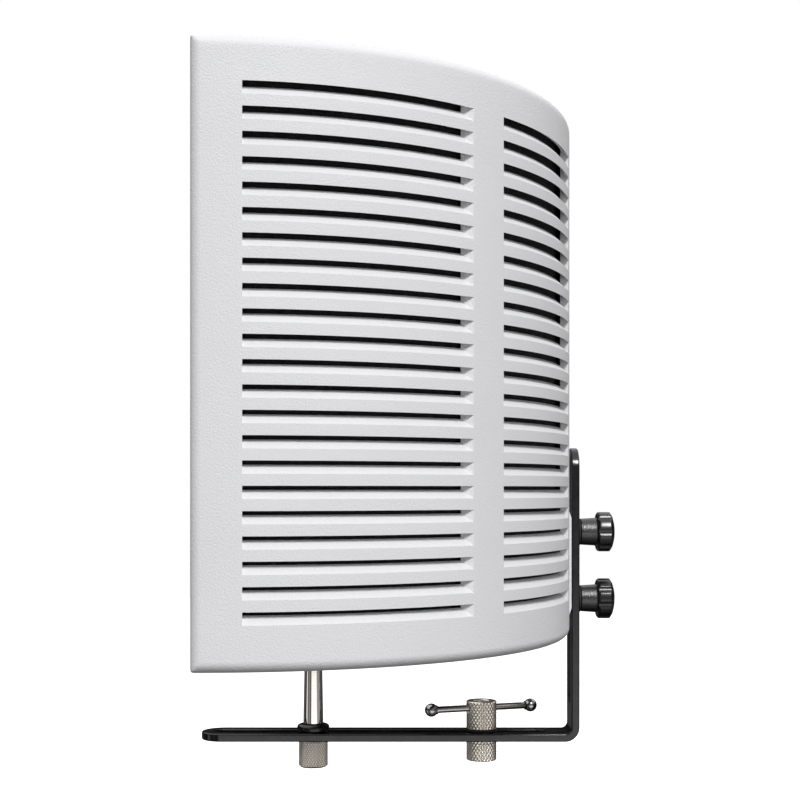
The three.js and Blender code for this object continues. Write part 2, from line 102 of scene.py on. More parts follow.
# Bracket: one bent strip with a slot in each leg
STRIP_WIDTH = strip_high[0] - strip_low[0]
STRIP_THICKNESS = 5
STRIP_EDGE_R = 0.9
BEND_R = 9
SLOT_WIDTH = 10.2
LEVEL_SLOT = (-168.6, 39.5)
UPRIGHT_SLOT = (36, 188.5)
LEG_BOTTOM = strip_low[2]
UPRIGHT_BACK = strip_high[1]

# Clearances, threads and knurls
GAP = 0.3
STUD_R = 3.95
STUD_BORE_R = 4.3
M8_PITCH = 1.25
STAND_PITCH = 25.4 / 27
THREAD_STEP = 0.16  # between the rings of a stud's thread
KNURL_DEPTH = 0.5
KNURL = (25, 3.48)  # the adapter's and the clamp nut's: starts, pitch
KNURL_STEPS = 400
KNURL_STEP = 0.24  # between the rings of a knurled wall

# Knobs
NECK_LENGTH = 12.1
HEAD_R = 12.6
HEAD_LENGTH = 11.1
FLUTES = 8
FLUTE_R = 3.4
FLUTE_DEPTH = 0.9

# Microphone post
POST_R = 6.35
POST_TOP_R = 5.7
POST_Y = corners("mic_post")[0][1] + POST_R
POST_THREAD_R = 4.75
SLEEVE_R = 7.9
SLEEVE_BORE_R = 5.05
COLLAR_R = 10.2
COLLAR_ROUND = 2
POST_NUT_R = 9.25

# Stand adapter and clamp
ADAPTER_R = 9.6
STAND_BORE_R = 7.5
STAND_BORE_DEPTH = 11
ADAPTER_STUD_R = 4.7
CLAMP_BORE_R = 5
CLAMP_WASHER_R = 10.2
TOMMY_Z = 32.8
TOMMY_TURN = math.radians(18.8)
TOMMY_R = 2.1
TOMMY_HOLE_R = 2.5
BALL_SPACING = 67.3
BALL_R = 4.2

# ------------------------------------------------------------------------------------ mesh helpers

record = frame["record"]
BODY = {node: body for body, nodes in record["behaviour"]["bodies"].items() for node in nodes}
SLOT = {part["node"]: part["material_slot"] for part in record["subparts"]}


def new_object(name, points, faces):
    """A closed mesh from points in millimetres, doubled points merged and faces turned outwards."""
    mesh = bpy.data.meshes.new(name)
    mesh.from_pydata((np.asarray(points, float) * MM).tolist(), [], [list(f) for f in faces])
    bm = bmesh.new()
    bm.from_mesh(mesh)
    bmesh.ops.remove_doubles(bm, verts=bm.verts, dist=1e-7)
    bmesh.ops.recalc_face_normals(bm, faces=bm.faces)
    bm.to_mesh(mesh)
    bm.free()
    obj = bpy.data.objects.new(name, mesh)
    bpy.context.scene.collection.objects.link(obj)
    return obj


def bake_modifiers(obj):
    """Turns the object's modifiers into its mesh."""
    graph = bpy.context.evaluated_depsgraph_get()
    mesh = bpy.data.meshes.new_from_object(obj.evaluated_get(graph), depsgraph=graph)
    obj.modifiers.clear()
    obj.data = mesh


def combine(obj, other, operation):
    """Joins or cuts obj with another closed mesh, which is then removed."""
    modifier = obj.modifiers.new("combine", "BOOLEAN")
    modifier.operation = operation
    modifier.solver = "MANIFOLD"
    modifier.object = other
    bake_modifiers(obj)
    bpy.data.objects.remove(other)


def fillet(obj, width, segments=2, angle=30):
    """Rounds every edge that is sharper than angle."""
    modifier = obj.modifiers.new("fillet", "BEVEL")
    modifier.limit_method = "ANGLE"
    modifier.angle_limit = math.radians(angle)
    modifier.width = width * MM
    modifier.segments = segments
    modifier.use_clamp_overlap = True
    modifier.harden_normals = False
    bake_modifiers(obj)


def shade(obj, sharp=SHARP_ANGLE, weighted=False):
    """Smooth shading that stops at sharp edges."""
    bm = bmesh.new()
    bm.from_mesh(obj.data)
    for face in bm.faces:
        face.smooth = True
    for edge in bm.edges:
        edge.smooth = len(edge.link_faces) == 2 and edge.calc_face_angle() < math.radians(sharp)
    bm.to_mesh(obj.data)
    bm.free()
    if weighted:
        modifier = obj.modifiers.new("flat faces", "WEIGHTED_NORMAL")
        modifier.keep_sharp = True
        modifier.weight = 100


def add_piece(obj, node, weighted=False, materials=None):
    """Finishes a piece: shading, materials, the body it rides on and the CAD node it stands for."""
    obj.name = f"{node}_visual"
    shade(obj, weighted=weighted)
    obj.data.materials.clear()
    for material in materials or [MATERIALS[SLOT[node]]]:
        obj.data.materials.append(material)
    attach(obj, BODY[node])
    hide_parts(node)
    return obj


def grid_faces(rows, columns, wrap_rows=False, wrap_columns=False):
    """Quads of a grid of points that are numbered row by row."""
    faces = []
    for i in range(rows if wrap_rows else rows - 1):
        for j in range(columns if wrap_columns else columns - 1):
            k, m = (i + 1) % rows, (j + 1) % columns
            faces.append((i * columns + j, k * columns + j, k * columns + m, i * columns + m))
    return faces


def lathe(profile, steps, shape=None, along_y=False, place=(0, 0, 0)):
    """Turned body. profile is a list of (radius, height): it starts and ends on the axis, or it closes.

    shape(angle, radius, height) gives the radius of each point, for knurls, threads and flutes.
    """
    radius, height = np.array(profile, float).T
    angle = np.arange(steps)[:, None] * 2 * math.pi / steps
    radius, height = np.broadcast_arrays(radius, height + 0 * angle)
    if shape:
        radius = shape(angle, radius, height)
    across, up = radius * np.sin(angle), radius * np.cos(angle)
    axes = (across, height, up) if along_y else (up, across, height)
    points = np.stack(axes, -1).reshape(-1, 3) + np.array(place, float)
    on_axis = profile[0][0] == 0
    faces = grid_faces(steps, len(profile), wrap_rows=True, wrap_columns=not on_axis)
    return new_object("turned", points, faces)


def dense(start, end, step):
    """Points from start to end, both included, about a step apart."""
    start, end = np.array(start, float), np.array(end, float)
    count = max(1, round(float(np.linalg.norm(end - start)) / step))
    return [tuple(start + (end - start) * i / count) for i in range(count + 1)]


def rounded(profile, radius, steps=3):
    """The profile with each inner corner replaced by a small arc-like curve."""
    out = [profile[0]]
    for before, corner, after in zip(profile, profile[1:], profile[2:]):
        a, b, c = (np.array(p, float) for p in (before, corner, after))
        reach = min(radius, 0.45 * np.linalg.norm(a - b), 0.45 * np.linalg.norm(c - b))
        start = b + (a - b) / np.linalg.norm(a - b) * reach
        end = b + (c - b) / np.linalg.norm(c - b) * reach
        for i in range(steps + 1):
            t = i / steps
            out.append(tuple((1 - t) ** 2 * start + 2 * t * (1 - t) * b + t ** 2 * end))
    return out + [profile[-1]]


def triangle_wave(x):
    """0 at whole numbers and 1 half-way between them."""
    return 1 - np.abs(2 * (x - np.floor(x)) - 1)


def knurl(outer, starts, pitch, low, high):
    """Shape function: diamonds pressed into the outer wall between two heights."""
    def shape(angle, radius, height):
        around = starts * angle / (2 * math.pi)
        rising, falling = around + height / pitch, around - height / pitch
        domes = np.abs(np.sin(math.pi * rising) * np.sin(math.pi * falling))
        depth = KNURL_DEPTH * (1 - domes ** 0.8)
        inside = (radius > outer - 0.05) & (height > low) & (height < high)
        return np.where(inside, radius - depth, radius)
    return shape


def thread(wall, pitch, low, high, depth):
    """Shape function: one-start thread on the wall of that radius between two heights."""
    def shape(angle, radius, height):
        groove = depth * (1 - triangle_wave(height / pitch + angle / (2 * math.pi)))
        inside = (np.abs(radius - wall) < 0.05) & (height > low) & (height < high)
        return np.where(inside, radius - groove, radius)
    return shape


def all_of(*shapes):
    """Shape function that applies several in turn."""
    def shape(angle, radius, height):
        for one in shapes:
            radius = one(angle, radius, height)
        return radius
    return shape


# --------------------------------------------------------------------------------------- materials

def new_material(name, base, roughness, metallic=0.0, **sockets):
    """A Principled material, with its node tree and its shader."""
    material = bpy.data.materials.new(name)
    material.use_nodes = True
    tree = material.node_tree
    shader = tree.nodes["Principled BSDF"]
    shader.inputs["Base Color"].default_value = (*base, 1)
    shader.inputs["Roughness"].default_value = roughness
    shader.inputs["Metallic"].default_value = metallic
    for socket, value in sockets.items():
        shader.inputs[socket.replace("_", " ")].default_value = value
    return material, tree, shader


def add_node(tree, kind, inputs=None, **settings):
    """A node with its settings and inputs; an input is a value or another node's output."""
    node = tree.nodes.new(kind)
    for key, value in settings.items():
        setattr(node, key, value)
    for key, value in (inputs or {}).items():
        if isinstance(value, bpy.types.NodeSocket):
            tree.links.new(value, node.inputs[key])
        else:
            node.inputs[key].default_value = value
    return node


def place_of(tree, stretch=(1, 1, 1)):
    """The point on the piece, in metres, stretched along its axes."""
    where = add_node(tree, "ShaderNodeTexCoord").outputs["Object"]
    return add_node(tree, "ShaderNodeMapping", {"Vector": where, "Scale": stretch}).outputs["Vector"]


def noise(tree, where, scale, detail=3.0, rough=0.55):
    return add_node(tree, "ShaderNodeTexNoise",
                    {"Vector": where, "Scale": scale, "Detail": detail, "Roughness": rough}).outputs["Fac"]


def between(tree, factor, low, high, from_low=0.3, from_high=0.7):
    """A number that runs from low to high as factor does from from_low to from_high."""
    inputs = {"Value": factor, "From Min": from_low, "From Max": from_high, "To Min": low, "To Max": high}
    return add_node(tree, "ShaderNodeMapRange", inputs).outputs["Result"]


def tint(tree, factor, dark, light, start=0.3, end=0.7):
    """A colour that runs from dark to light."""
    ramp = add_node(tree, "ShaderNodeValToRGB", {"Fac": factor})
    ramp.color_ramp.elements[0].position = start
    ramp.color_ramp.elements[1].position = end
    ramp.color_ramp.elements[0].color = (*dark, 1)
    ramp.color_ramp.elements[1].color = (*light, 1)
    return ramp.outputs["Color"]


def bump(tree, height, distance, strength=1.0, normal=None):
    inputs = {"Height": height, "Distance": distance, "Strength": strength}
    if normal:
        inputs["Normal"] = normal
    return add_node(tree, "ShaderNodeBump", inputs).outputs["Normal"]


def scaled(colour, factor):
    return tuple(min(1, c * factor) for c in colour)


def grained(name, base, roughness, metallic=0.0, grain=1200, depth=0.00002, mottle=0.05, wander=0.06,
            stretch=(1, 1, 1), **sockets):
    """Moulded, painted or plated surface: fine grain in the normal, slow changes of colour and gloss."""
    material, tree, shader = new_material(name, base, roughness, metallic, **sockets)
    where = place_of(tree, stretch)
    slow = noise(tree, where, 22, 4)
    fine = noise(tree, where, grain, 2, 0.6)
    gloss = noise(tree, where, 140, 3)
    tree.links.new(tint(tree, slow, scaled(base, 1 - mottle), scaled(base, 1 + mottle)),
                   shader.inputs["Base Color"])
    tree.links.new(between(tree, gloss, roughness - wander, roughness + wander), shader.inputs["Roughness"])
    tree.links.new(bump(tree, fine, depth), shader.inputs["Normal"])
    return material


def fleece_material():
    """Needled black felt: matted fibres, a little sheen."""
    base = (0.010, 0.010, 0.011)
    material, tree, shader = new_material("black_fleece", base, 0.95, Sheen_Weight=0.03,
                                          Sheen_Roughness=0.6)
    where = place_of(tree)
    fibres = noise(tree, place_of(tree, (1, 1, 0.35)), 2600, 4, 0.7)
    clumps = noise(tree, where, 240, 4)
    tree.links.new(tint(tree, clumps, scaled(base, 0.6), scaled(base, 1.8)), shader.inputs["Base Color"])
    tree.links.new(bump(tree, fibres, 0.0004, 0.8, bump(tree, clumps, 0.0008, 0.5)), shader.inputs["Normal"])
    return material


def foam_material(name, base, cell):
    """Open-cell foam: small pores over a slightly uneven skin."""
    material, tree, shader = new_material(name, base, 0.93, Sheen_Weight=0.15, Sheen_Roughness=0.5)
    where = place_of(tree)
    cells = add_node(tree, "ShaderNodeTexVoronoi", {"Vector": where, "Scale": cell}, feature="F1")
    pores = between(tree, cells.outputs["Distance"], 0, 1, 0.1, 0.55)
    uneven = noise(tree, where, 60, 5)
    dark, light = scaled(base, 0.55), scaled(base, 1.5)
    mixed = add_node(tree, "ShaderNodeMath", {0: pores, 1: uneven}, operation="MULTIPLY").outputs[0]
    tree.links.new(tint(tree, mixed, dark, light, 0.1, 0.6), shader.inputs["Base Color"])
    tree.links.new(bump(tree, pores, 0.0005, 0.9, bump(tree, uneven, 0.0015, 0.3)), shader.inputs["Normal"])
    return material


def turned_metal(name, base, roughness, lines=3000, depth=0.000004, wander=0.05, **sockets):
    """Metal with fine lathe or polishing lines round its vertical axis."""
    return grained(name, base, roughness, 1.0, grain=lines, depth=depth, mottle=0.06, wander=wander,
                   stretch=(0.05, 0.05, 1), **sockets)


GROOVE_SHADE_POINTINESS = (0.45, 0.505)  # pointiness at the bottom of a knurl's grooves, where the painted shade is darkest, and on its points, where it ends


def nickel_material():
    """Nickel plate with painted shade: darker in the grooves of a knurl, brighter on its points."""
    material = turned_metal("nickel", (0.92, 0.84, 0.75), 0.32)
    tree = material.node_tree
    points = add_node(tree, "ShaderNodeNewGeometry").outputs["Pointiness"]
    base_colour = tree.nodes["Principled BSDF"].inputs["Base Color"]
    plate = base_colour.links[0].from_socket
    # painted shade: a knurl's grooves are darkened to 0.42 of the plate's colour, fading out towards its
    # points
    groove_shade = tint(tree, points, (0.42, 0.42, 0.42), (1, 1, 1), *GROOVE_SHADE_POINTINESS)
    mixed = add_node(tree, "ShaderNodeMix", {0: 1.0, 6: plate, 7: groove_shade}, data_type="RGBA",
                     blend_type="MULTIPLY")
    tree.links.new(mixed.outputs[2], base_colour)
    return material


MATERIALS = {
    "white_plastic": grained("white_plastic", (0.80, 0.80, 0.815), 0.5, grain=1100, depth=0.0003,
                             mottle=0.015, wander=0.05, Specular_IOR_Level=0.35),
    "black_fleece": fleece_material(),
    "charcoal_foam": foam_material("charcoal_foam", (0.022, 0.022, 0.024), 1100),
    "black_rubber": grained("black_rubber", (0.014, 0.014, 0.014), 0.8, grain=900, depth=0.00005,
                            mottle=0.2),
    "black_paint": grained("black_paint", (0.003, 0.003, 0.0035), 0.18, grain=700, depth=0.000012,
                           mottle=0.15, wander=0.05),
    "knob_plastic": grained("knob_plastic", (0.008, 0.008, 0.0085), 0.24, grain=1600, depth=0.00002,
                            mottle=0.12, wander=0.05),
    "zinc_steel": turned_metal("zinc_steel", (0.45, 0.45, 0.47), 0.35),
    "polished_steel": turned_metal("polished_steel", (0.36, 0.35, 0.34), 0.16),
    "chrome": turned_metal("chrome", (0.78, 0.75, 0.70), 0.06, wander=0.02),
    "nickel": nickel_material(),
    "brass": turned_metal("brass", (0.62, 0.45, 0.19), 0.28),
}
KNOB_NECK = grained("knob_neck", (0.010, 0.010, 0.011), 0.3, grain=1000, depth=0.0002, mottle=0.1,
                    Specular_IOR_Level=0.8)
COLLAR = grained("collar_gloss", (0.008, 0.008, 0.008), 0.2, grain=900, depth=0.00001, mottle=0.1)

# ------------------------------------------------------------------------------------------- panel


# Radii of the shell's grid, from the outer surface inwards
SHELL_LEVELS = np.array([PANEL_R, PANEL_R - SLAT_WALL, PANEL_R - SHELL_WALL, PANEL_R - BEVEL_DEPTH,
                         PANEL_R - LOUVRE_DEPTH, PANEL_R - PANEL_DEPTH])
SLAT_CELLS, WALL_CELLS, FRAME_CELLS, BEVEL_CELLS, ALL_CELLS = range(1, 6)  # cells deep that each part is
EDGE_STEPS = (90, 75, 60, 45, math.degrees(math.asin(1 - SHELL_WALL / EDGE_R)), 14, 0)
EDGE_GAPS = 4  # steps of the rounding in the thickness of a wall


def edge_distance(step):
    """How far a step of the rounding stands from the panel's top, bottom or end."""
    return EDGE_R * (1 - math.sin(math.radians(step)))


def shell_rows():
    """Heights of the shell's section, bottom to top: a list for each row with a height per radius.

    Also gives the kind of each gap between two rows.
    """
    depth = PANEL_R - SHELL_LEVELS
    flat = np.ones(len(SHELL_LEVELS))
    rows = [edge_distance(step) * flat for step in EDGE_STEPS]
    kinds = ["edge"] * EDGE_GAPS + ["wall"] * (len(rows) - EDGE_GAPS)
    rows.append((TOP_SLOT - SLOT_PITCH * (SLOT_ROWS - 1) - SLOT_OPENING - LOUVRE_FRAME) * flat)
    for k in reversed(range(SLOT_ROWS)):
        lip = TOP_SLOT - SLOT_PITCH * k
        bevel = np.minimum(lip - SLOT_OPENING + depth, lip - SLOT_THROAT)
        inner_bevel = np.minimum(lip - SLOT_OPENING - SLAT_TOP_DEPTH + depth, lip - SLOT_THROAT)
        kinds += ["bar" if k == SLOT_ROWS - 1 else "slat", "bevel", "slot"]
        rows += [inner_bevel, bevel, np.where(depth > 0, lip + LIP_RISE, lip)]
    kinds += ["pocket", "bar"]
    rows += [(TOP_SLOT + TOP_POCKET) * flat, (TOP_SLOT + TOP_POCKET + LOUVRE_FRAME) * flat]
    kinds += ["wall"] * (len(EDGE_STEPS) - EDGE_GAPS) + ["edge"] * EDGE_GAPS
    rows += [(PANEL_HEIGHT - edge_distance(step)) * flat for step in reversed(EDGE_STEPS)]
    return np.array(rows), kinds


def shell_stations():
    """Where the shell's sections stand: ("y", distance) near an end, then ("turn", degrees) to 90.

    Each station has the kind of stretch that follows it. A "lean" station is a "turn" station at a slot's
    rear end: its inner points stand at smaller angles, and stations stand further apart than it leans.
    """
    side = math.degrees(LOUVRE_FRAME / PANEL_R)
    stations = []
    for i, step in enumerate(EDGE_STEPS[:-1]):
        stations.append(("y", PANEL_FRONT + edge_distance(step), "end" if i < EDGE_GAPS else "plain"))
    spans = [(math.degrees(math.asin((EDGE_R + PANEL_FRONT) / PANEL_R)), "plain")]
    for low, high in COLUMNS:
        spans += [(low - side, "frame"), (low, "column"), (high, "frame"), (high + side, "plain")]
    spans.append((90, "plain"))
    for (start, kind), (end, _) in zip(spans, spans[1:]):
        count = max(1, math.floor((end - start) / (END_LEAN + 0.1)))
        stations += [("turn", start + (end - start) * i / count, kind) for i in range(count)]
    ends = [high for _, high in COLUMNS]
    return [("lean" if value in ends else how, value, kind) for how, value, kind in stations]


def shell_points(stations, rows):
    """Every point of the shell's grid: station by station, row by row, radius by radius."""
    def into_corner(into):
        return np.clip((into - EDGE_R + CORNER_R) / CORNER_R, 0, 1)

    points = np.zeros((len(stations), *rows.shape, 3))
    for i, (how, value, _) in enumerate(stations):
        into_end = max(0, EDGE_R + PANEL_FRONT - value) if how == "y" else 0
        for j, level in enumerate(SHELL_LEVELS):
            z = rows[:, j]
            into_edge = np.maximum(EDGE_R - z, z - (PANEL_HEIGHT - EDGE_R))
            into = np.clip(np.maximum(into_edge, into_end), 0, EDGE_R)
            rounding = EDGE_R - np.sqrt(EDGE_R ** 2 - into ** 2)
            radius = np.minimum(level, PANEL_R - rounding - 0.5 * j)
            if how == "y":
                s, t = into_corner(into_end), into_corner(into_edge)
                y = value + CORNER_R * s * (1 - np.sqrt(1 - t ** 2 / 2))
                x = np.sqrt(radius ** 2 - y ** 2)
                inward = np.where(z < PANEL_HEIGHT / 2, 1, -1)
                z = z + inward * CORNER_R * t * (1 - np.sqrt(1 - s ** 2 / 2))
            else:
                lean = END_LEAN * min(1, (PANEL_R - level) / BEVEL_DEPTH) if how == "lean" else 0
                angle = math.radians(value - lean)
                x, y = radius * math.cos(angle), radius * math.sin(angle)
            points[i, :, j] = np.stack([x, y, z], -1)
    return points


def shell_solid(kinds):
    """Which cells of the section are plastic, for each kind of stretch."""
    edges = {"edge": ALL_CELLS, "wall": WALL_CELLS}
    depth = {
        "end": dict.fromkeys(kinds, ALL_CELLS),
        "plain": dict.fromkeys(kinds, WALL_CELLS) | edges,
        "frame": dict.fromkeys(kinds, FRAME_CELLS) | edges,
        "column": {"bar": FRAME_CELLS, "slat": SLAT_CELLS, "bevel": BEVEL_CELLS, "slot": 0,
                   "pocket": WALL_CELLS} | edges,
    }
    return {stretch: np.arange(ALL_CELLS) < np.array([[depths[kind]] for kind in kinds])
            for stretch, depths in depth.items()}


def shell_mesh():
    """The moulded tray with its louvres, as the faces between plastic and air in one curved grid."""
    rows, row_kinds = shell_rows()
    solid = shell_solid(row_kinds)
    stations = shell_stations()
    half = shell_points(stations, rows)
    middle = shell_points([("turn", 90.0, "plain")], rows)
    points = np.concatenate([half, middle, half[::-1] * (-1, 1, 1)])
    kinds = [kind for _, _, kind in stations]
    kinds += kinds[::-1]
    cells = np.array([solid[kind] for kind in kinds])
    padded = np.pad(cells, 1)
    count = points.shape[:3]
    number = np.arange(np.prod(count)).reshape(count)
    faces = []
    for axis in range(3):
        a, b = [k for k in range(3) if k != axis]
        ahead = np.roll(padded, -1, axis)
        for index in np.argwhere(padded != ahead):
            corner = index.copy()
            corner[axis] += 1
            corner -= 1
            loop = [(0, 0), (1, 0), (1, 1), (0, 1)]
            face = []
            for da, db in loop:
                c = corner.copy()
                c[a] += da
                c[b] += db
                face.append(int(number[tuple(c)]))
            faces.append(face)
    used = sorted({i for face in faces for i in face})
    renumber = {old: new for new, old in enumerate(used)}
    flat = points.reshape(-1, 3)[used] + (0, PANEL_Y, PANEL_Z)
    return new_object("shell", flat, [[renumber[i] for i in face] for face in faces])


def prism(outline, low, high, place):
    """Closed prism of an outline; place(u, v, w) gives the point of an outline point at depth w."""
    points = [place(u, v, w) for w in (low, high) for u, v in outline]
    n = len(outline)
    faces = [tuple(range(n)), tuple(range(n, 2 * n))]
    faces += [(i, (i + 1) % n, n + (i + 1) % n, n + i) for i in range(n)]
    return new_object("prism", points, faces)


def rear_shell():
    obj = shell_mesh()
    low, high = PAD
    root = PANEL_R - SHELL_WALL / 2
    profile = [(root, low - PAD_TAPER), (PANEL_R - 0.2, low - PAD_TAPER), (PAD_FACE, low),
               (PAD_FACE, high), (PANEL_R - 0.2, high + PAD_TAPER), (root, high + PAD_TAPER)]
    pad = prism(profile, -PAD_WIDTH / 2, PAD_WIDTH / 2, lambda r, z, x: (x, PANEL_Y + r, PANEL_Z + z))
    combine(obj, pad, "UNION")
    inner = PANEL_R - SHELL_WALL - BOSS_DEPTH
    plan = [(-BOSS_WIDTH / 2, inner), (BOSS_WIDTH / 2, inner), (BOSS_WIDTH / 2, root - 1),
            (-BOSS_WIDTH / 2, root - 1)]
    boss = prism(plan, low - 7, high + 8, lambda x, r, z: (x, PANEL_Y + r, PANEL_Z + z))
    combine(obj, boss, "UNION")
    fillet(obj, SHELL_FILLET)
    for node in ("upper_insert", "lower_insert"):
        low_corner, high_corner = corners(node)
        z = (low_corner[2] + high_corner[2]) / 2
        bore = [(0, low_corner[1] - 0.3), (INSERT_BORE_R, low_corner[1] - 0.3),
                (INSERT_BORE_R, high_corner[1] + 1), (0, high_corner[1] + 1)]
        combine(obj, lathe(bore, 48, along_y=True, place=(0, 0, z)), "DIFFERENCE")
    return add_piece(obj, "rear_shell", weighted=True)


def curved_block(node, angles, inner, outer, low, high, step=2.0, edge=1.2):
    """Curved block of the panel, its long edges rounded."""
    start, end = (math.radians(a) for a in angles)
    count = max(2, round(math.degrees(end - start) / step))
    ring = [(inner, low), (outer, low), (outer, high), (inner, high)]
    points = []
    for i in range(count + 1):
        a = start + (end - start) * i / count
        points += [(r * math.cos(a), PANEL_Y + r * math.sin(a), PANEL_Z + z) for r, z in ring]
    faces = grid_faces(count + 1, 4, wrap_columns=True)
    faces += [(0, 1, 2, 3), tuple(4 * count + k for k in range(4))]
    obj = new_object(node, points, faces)
    fillet(obj, edge, 3)
    return obj


def insert(node):
    """Brass insert: straight knurl outside, thread inside."""
    low, high = corners(node)
    inner, outer = STUD_BORE_R, 5.7
    start, end = low[1], high[1]
    profile = dense((inner, start + 0.4), (inner, end - 0.4), 0.3)[::-1]
    profile += [(inner + 0.3, start), (outer - 0.4, start), (outer, start + 0.5), (outer, start + 4.5),
                (outer - 0.5, start + 5), (outer - 0.5, start + 6.5), (outer, start + 7),
                (outer, end - 0.5), (outer - 0.4, end), (inner + 0.3, end)]

    def teeth(angle, radius, height):
        return np.where(radius > outer - 0.05, radius - 0.25 * triangle_wave(24 * angle / (2 * math.pi)),
                        radius)

    z = (low[2] + high[2]) / 2
    shape = all_of(teeth, thread(inner, M8_PITCH, start + 0.5, end - 0.5, 0.25))
    add_piece(lathe(profile, 96, shape, along_y=True, place=(0, 0, z)), node)


# --------------------------------------------------------------------------------------- absorbers

MARGIN = 4
FLEECE_THICKNESS = 3
AIR_GAP = 10
FLEECE_OUTER = PANEL_R - LOUVRE_DEPTH - GAP
FLEECE_INNER = FLEECE_OUTER - FLEECE_THICKNESS
BATTEN_OUTER = FLEECE_INNER - GAP
BATTEN_INNER = BATTEN_OUTER - AIR_GAP
FOAM_OUTER = BATTEN_INNER - GAP
FOAM_THICKNESS = 26.8
FOAM_ANGLES = (0.6, 179.4)
FLEECE_ANGLES = (1.2, 82)
BATTENS = (2.8, 46, 90, 134, 177.2)
PYRAMIDS = (18, 10)  # along the arc and up
PYRAMID_HEIGHT = 17


def fleece(node, angles):
    """Felt sheet behind the louvres, its face a little uneven."""
    columns, rows = 60, 60
    random = np.random.default_rng(len(node))
    waves = random.uniform(-1, 1, (6, 3))
    start, end = (math.radians(a) for a in angles)
    t = np.linspace(0, 1, columns)[:, None] + np.zeros((1, rows))
    z = np.linspace(MARGIN, PANEL_HEIGHT - MARGIN, rows)[None, :] + np.zeros((columns, 1))
    swell = sum(w[0] * np.sin(9 * w[1] * t * 3 + 7 * w[2] + z * 0.06 * (k + 1) / 3)
                for k, w in enumerate(waves)) / 6
    swell *= np.minimum(1, 12 * np.minimum(t, 1 - t))
    angle = start + (end - start) * t
    sides = []
    for radius in (FLEECE_OUTER - 0.35 + 0.3 * swell, FLEECE_INNER + 0.35 + 0.3 * swell):
        sides.append(np.stack([radius * np.cos(angle), PANEL_Y + radius * np.sin(angle), PANEL_Z + z], -1))
    return add_piece(closed_sheet(node, sides), node)


def closed_sheet(node, sides):
    """Closed mesh between two grids of points of the same size."""
    columns, rows = sides[0].shape[:2]
    points = np.concatenate([side.reshape(-1, 3) for side in sides])
    one = grid_faces(columns, rows)
    size = columns * rows
    faces = one + [tuple(i + size for i in face) for face in one]
    rim = [(i, 0) for i in range(columns)] + [(columns - 1, j) for j in range(1, rows)]
    rim += [(i, rows - 1) for i in range(columns - 2, -1, -1)] + [(0, j) for j in range(rows - 2, 0, -1)]
    index = [i * rows + j for i, j in rim]
    faces += [(a, b, b + size, a + size) for a, b in zip(index, index[1:] + index[:1])]
    return new_object(node, points, faces)


def inner_foam():
    """Thick absorber with rows of pyramids on its concave face."""
    per_pyramid = 8
    columns, rows = (PYRAMIDS[0] * per_pyramid + 1, PYRAMIDS[1] * per_pyramid + 1)
    start, end = (math.radians(a) for a in FOAM_ANGLES)
    t = np.linspace(0, 1, columns)[:, None] + np.zeros((1, rows))
    u = np.linspace(0, 1, rows)[None, :] + np.zeros((columns, 1))
    peak = np.minimum(triangle_wave(t * PYRAMIDS[0]), triangle_wave(u * PYRAMIDS[1]))
    peak = np.minimum(peak, 0.93) / 0.93
    low, high = MARGIN, PANEL_HEIGHT - MARGIN
    angle = start + (end - start) * t
    z = PANEL_Z + low + (high - low) * u
    front = FOAM_OUTER - FOAM_THICKNESS + PYRAMID_HEIGHT * (1 - peak)
    back = FOAM_OUTER + 0 * t
    sides = [np.stack([r * np.cos(angle), PANEL_Y + r * np.sin(angle), z], -1) for r in (back, front)]
    obj = closed_sheet("inner_foam", sides)
    add_piece(obj, "inner_foam")


def absorbers():
    for node, angles in (("rear_fleece_right", FLEECE_ANGLES),
                         ("rear_fleece_left", (180 - FLEECE_ANGLES[1], 180 - FLEECE_ANGLES[0]))):
        sheet = fleece(node, angles)
    for number in range(1, 6):
        node = f"spacer_batten_{number}"
        low, high = corners(node)
        middle = BATTENS[number - 1]
        half = 3 if number == 3 else 1.4
        outer = PANEL_R - SHELL_WALL - GAP if number == 3 else BATTEN_OUTER
        obj = curved_block(node, (middle - half, middle + half), BATTEN_INNER, outer,
                           low[2] - PANEL_Z, high[2] - PANEL_Z, 0.7)
        add_piece(obj, node, weighted=True)
    inner_foam()


# ----------------------------------------------------------------------------------------- bracket

def stadium(start, end, radius, steps=20):
    """Outline with two round ends, from start to end along the strip."""
    far = [(end - radius + radius * math.sin(a), radius * math.cos(a))
           for a in np.linspace(0, math.pi, steps + 1)]
    near = [(start + radius - radius * math.sin(a), -radius * math.cos(a))
            for a in np.linspace(0, math.pi, steps + 1)]
    return far + near


